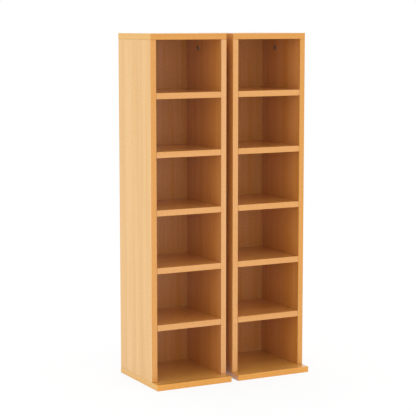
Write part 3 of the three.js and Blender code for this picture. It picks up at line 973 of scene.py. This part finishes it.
def floor_material():
    """Matt white paper that keeps a soft shadow near the object and fades to the white backdrop."""
    material = bpy.data.materials.new("white_paper_floor")
    tree = new_tree(material)
    place = add_node(tree, "TexCoord")["Object"]
    distance = add_node(tree, "VectorMath", {0: place}, operation="LENGTH")["Value"]
    limits = {"From Min": FADE_START, "From Max": FADE_END, "To Min": FADE_START_SHARE, "To Max": 1.0}
    fade = add_node(tree, "MapRange", {"Value": distance, **limits})["Result"]
    factor = add_node(tree, "Math", {0: seen_directly(tree), 1: fade}, operation="MULTIPLY")[0]
    paper = add_node(tree, "BsdfDiffuse", {"Color": towers().stage.floor_colour})
    glow = add_node(tree, "Emission", {"Color": WHITE, "Strength": 1.0})
    mixed = add_node(tree, "MixShader", {0: factor, 1: paper[0], 2: glow[0]})
    add_node(tree, "OutputMaterial", {"Surface": mixed[0]})
    return material


def add_floor():
    """A round floor, far wider than any view."""
    bm = bmesh.new()
    disc(bm, towers().stage.floor_radius, FLOOR_SIDES)
    floor = add_object("floor", bm)
    floor.data.materials.append(floor_material())


def add_world():
    """White for whoever looks at it, and softer as a light."""
    world = bpy.data.worlds.new("studio")
    tree = new_tree(world)
    light = add_node(tree, "Background", {"Color": WHITE, "Strength": towers().stage.sky})
    backdrop = add_node(tree, "Background", {"Color": WHITE, "Strength": 1.0})
    mixed = add_node(tree, "MixShader", {0: seen_directly(tree), 1: light[0], 2: backdrop[0]})
    add_node(tree, "OutputWorld", {"Surface": mixed[0]})
    bpy.context.scene.world = world


def add_side_lamp():
    """A square soft lamp at the left."""
    light = bpy.data.lights.new("side_lamp", "AREA")
    light.shape = "SQUARE"
    light.size = LAMP_SIZE
    light.energy = towers().stage.side
    lamp = add_object("side_lamp", light)
    lamp.location = LAMP_PLACE
    lamp.rotation_euler = (LAMP_TARGET - LAMP_PLACE).to_track_quat("-Z", "Y").to_euler()


def add_camera():
    """A camera at the viewing angle of the photograph."""
    stage = towers().stage
    data = bpy.data.cameras.new("camera")
    data.lens = stage.lens
    data.sensor_width = SENSOR_WIDTH
    camera = add_object("camera", data)
    camera.location = stage.camera_place
    camera.rotation_euler = (QUARTER_TURN - stage.camera_down, 0.0, -stage.camera_turn)
    bpy.context.scene.camera = camera


# Operators


class SidePanelsOperator(bpy.types.Operator):
    """Finish the side panels, which have their grain upright, and band their front edges"""

    bl_idname = "disc_towers.side_panels"
    bl_label = "Side Panels"

    def execute(self, context):
        reveal = towers().boards.band_reveal
        for number, corner in enumerate(CORNERS):
            node = f"{corner}_side_panel"
            add_board(node, number, X_AXIS, Z_AXIS, [FRONT], side_panel_bores(node))
            add_band(node, number, FRONT, Z_AXIS, True, (0.0, 0.0, reveal), (0.0, 0.0, -reveal))
        return {"FINISHED"}


class ShelvesOperator(bpy.types.Operator):
    """Finish the shelves, which have their grain from side to side, and band their front edges"""

    bl_idname = "disc_towers.shelves"
    bl_label = "Shelves"

    def execute(self, context):
        for number, node in enumerate(SHELF_NODES, FIRST_SHELF):
            add_board(node, number, Z_AXIS, X_AXIS, [FRONT])
            add_band(node, number, FRONT, X_AXIS, False)
        return {"FINISHED"}


class TopsAndBasesOperator(bpy.types.Operator):
    """Finish the tops and bases and band their fronts and, as they reach across the towers, their ends"""

    bl_idname = "disc_towers.tops_and_bases"
    bl_label = "Tops and Bases"

    def execute(self, context):
        kinds = {"top_panel": top_panel_bores, "base_board": base_board_bores}
        nodes = [(f"{tower}_{kind}", bores) for tower in TOWERS for kind, bores in kinds.items()]
        behind_front = (0.0, towers().boards.band_thickness, 0.0)
        for number, (node, bores) in enumerate(nodes, FIRST_TOP):
            add_board(node, number, Z_AXIS, X_AXIS, [FRONT, LEFT_END, RIGHT_END], bores(node))
            add_band(node, number, FRONT, X_AXIS, True)
            for side in (LEFT_END, RIGHT_END):
                add_band(node, number, side, Y_AXIS, False, behind_front)
        return {"FINISHED"}


class BackPanelsOperator(bpy.types.Operator):
    """Finish the hardboard backs, rough side out"""

    bl_idname = "disc_towers.back_panels"
    bl_label = "Back Panels"

    def execute(self, context):
        backs = towers().backs
        for number, tower in enumerate(TOWERS, FIRST_BACK):
            node = f"{tower}_back_panel"
            low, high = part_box(node)
            outside = high.y - backs.head_height
            bm = box_mesh(low, Vector((high.x, outside, high.z)))
            round_edges(bm, bm.edges[:], backs.arris, ARRIS_STEPS)
            for face in bm.faces:
                face.material_index = 1 if face.normal.y < -FACING else 0
            print_beech(bm, number, Z_AXIS, tone_of(LIT_AND_SHADED_FACE_TONES, node))
            add_piece(f"{node}_sheet", bm, [HARDBOARD, FACE], node)
        return {"FINISHED"}


class PanelPinsOperator(bpy.types.Operator):
    """Nail the rim of each back to the middle of the boards behind it with panel pins"""

    bl_idname = "disc_towers.panel_pins"
    bl_label = "Panel Pins"

    def execute(self, context):
        backs = towers().backs
        edge, spacing = backs.pin_edge, backs.pin_spacing
        pin = pin_mesh()
        mesh = bpy.data.meshes.new("pin")
        for tower in TOWERS:
            low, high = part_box(f"{tower}_back_panel")
            outside = high.y - backs.head_height
            columns = spread(low.x + edge, high.x - edge, spacing)
            rows = spread(low.z + edge, high.z - edge, spacing)
            places = [(x, z) for z in rows for x in (columns[0], columns[-1])]
            places += [(x, z) for x in columns[1:-1] for z in (rows[0], rows[-1])]
            pins = bmesh.new()
            for x, z in places:
                moved(pin.copy(), (x, outside, z), Z_TO_Y).to_mesh(mesh)
                pins.from_mesh(mesh)
            add_piece(f"{tower}_panel_pins", pins, [STEEL])
        bpy.data.meshes.remove(mesh)
        pin.free()
        return {"FINISHED"}


class BaseScrewsOperator(bpy.types.Operator):
    """Cut the sockets and threads of the screws that go up through the bases into the side panels"""

    bl_idname = "disc_towers.base_screws"
    bl_label = "Base Screws"

    def execute(self, context):
        nodes = [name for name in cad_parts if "_base_screw_" in name]
        screw = base_screw_mesh(size_of(nodes[0]).z)
        for node in nodes:
            bm = moved(screw.copy(), middle_of(node, Z_AXIS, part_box(node)[0].z))
            add_piece(f"{node}_threaded", bm, [STEEL], node)
        screw.free()
        return {"FINISHED"}


class CamFittingsOperator(bpy.types.Operator):
    """Finish the cam bolts in the top panels and the cam locks in the side panels"""

    bl_idname = "disc_towers.cam_fittings"
    bl_label = "Cam Fittings"

    def execute(self, context):
        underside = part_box(f"{TOWERS[0]}_top_panel")[0].z
        upright = Vector(UP)
        for hand_name, hand in HANDS.items():
            corner = f"{TOWERS[0]}_{hand_name}"
            low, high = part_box(f"{corner}_cam_bolt")
            bolt = cam_bolt_mesh(low.z - underside, high.z - underside)
            lock = cam_lock_mesh(size_of(f"{corner}_cam_lock").x, hand)
            facing = Vector((-hand, 0.0, 0.0))
            basis = Matrix((upright.cross(facing), upright, facing)).transposed().to_4x4()
            for corner in [f"{tower}_{hand_name}" for tower in TOWERS]:
                node = f"{corner}_cam_bolt"
                bm = moved(bolt.copy(), middle_of(node, Z_AXIS, underside))
                add_piece(f"{node}_threaded", bm, [STEEL], node)
                node = f"{corner}_cam_lock"
                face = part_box(node)[hand < 0].x
                bm = moved(lock.copy(), middle_of(node, X_AXIS, face), basis)
                add_piece(f"{node}_casting", bm, [CASTING], node)
            bolt.free()
            lock.free()
        return {"FINISHED"}


class DowelsOperator(bpy.types.Operator):
    """Flute the dowels between the side panels and the top panels"""

    bl_idname = "disc_towers.dowels"
    bl_label = "Dowels"

    def execute(self, context):
        nodes = [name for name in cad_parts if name.endswith("_dowel")]
        size = size_of(nodes[0])
        dowel = dowel_mesh(size.x / 2, size.z)
        for node in nodes:
            bm = moved(dowel.copy(), middle_of(node))
            add_piece(f"{node}_fluted", bm, [RAW_BEECH], node)
        dowel.free()
        return {"FINISHED"}


class ShelfWiresOperator(bpy.types.Operator):
    """Bend the wires that carry the shelves, in the grooves of their ends"""

    bl_idname = "disc_towers.shelf_wires"
    bl_label = "Shelf Wires"

    def execute(self, context):
        for node in [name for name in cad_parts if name.endswith("_wire")]:
            hand_name = node.removesuffix("_wire").rsplit("_", 1)[1]
            bm = shelf_wire_mesh(*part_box(node), HANDS[hand_name])
            add_piece(f"{node}_bent", bm, [STEEL], node)
        return {"FINISHED"}


class StageOperator(bpy.types.Operator):
    """Set up the floor, the light and the camera"""

    bl_idname = "disc_towers.stage"
    bl_label = "Stage"

    def execute(self, context):
        context.scene.view_settings.view_transform = "Standard"
        add_floor()
        add_world()
        add_side_lamp()
        add_camera()
        return {"FINISHED"}


OPERATORS = (
    SidePanelsOperator,
    ShelvesOperator,
    TopsAndBasesOperator,
    BackPanelsOperator,
    PanelPinsOperator,
    BaseScrewsOperator,
    CamFittingsOperator,
    DowelsOperator,
    ShelfWiresOperator,
    StageOperator,
)


class DiscTowersPanel(bpy.types.Panel):
    """Lists the settings and the operators of the pair of towers"""

    bl_idname = "VIEW3D_PT_disc_towers"
    bl_label = "Disc Towers"
    bl_space_type = "VIEW_3D"
    bl_region_type = "UI"
    bl_category = "Disc Towers"

    def draw(self, context):
        settings = context.scene.disc_towers
        for group in (settings.boards, settings.backs, settings.fixings, settings.stage):
            box = self.layout.box()
            for name in group.bl_rna.properties.keys():
                if name not in ("rna_type", "name"):
                    box.prop(group, name)
        for operator in OPERATORS:
            self.layout.operator(operator.bl_idname)


CLASSES = (
    BoardSettings,
    BackSettings,
    FixingSettings,
    StageSettings,
    TowerSettings,
    *OPERATORS,
    DiscTowersPanel,
)


def register():
    for cls in CLASSES:
        bpy.utils.register_class(cls)
    bpy.types.Scene.disc_towers = bpy.props.PointerProperty(type=TowerSettings)


def unregister():
    del bpy.types.Scene.disc_towers
    for cls in reversed(CLASSES):
        bpy.utils.unregister_class(cls)


def main():
    register()
    bpy.ops.disc_towers.side_panels()
    bpy.ops.disc_towers.shelves()
    bpy.ops.disc_towers.tops_and_bases()
    bpy.ops.disc_towers.back_panels()
    bpy.ops.disc_towers.panel_pins()
    bpy.ops.disc_towers.base_screws()
    bpy.ops.disc_towers.cam_fittings()
    bpy.ops.disc_towers.dowels()
    bpy.ops.disc_towers.shelf_wires()
    bpy.ops.disc_towers.stage()


if __name__ == "__main__":
    main()
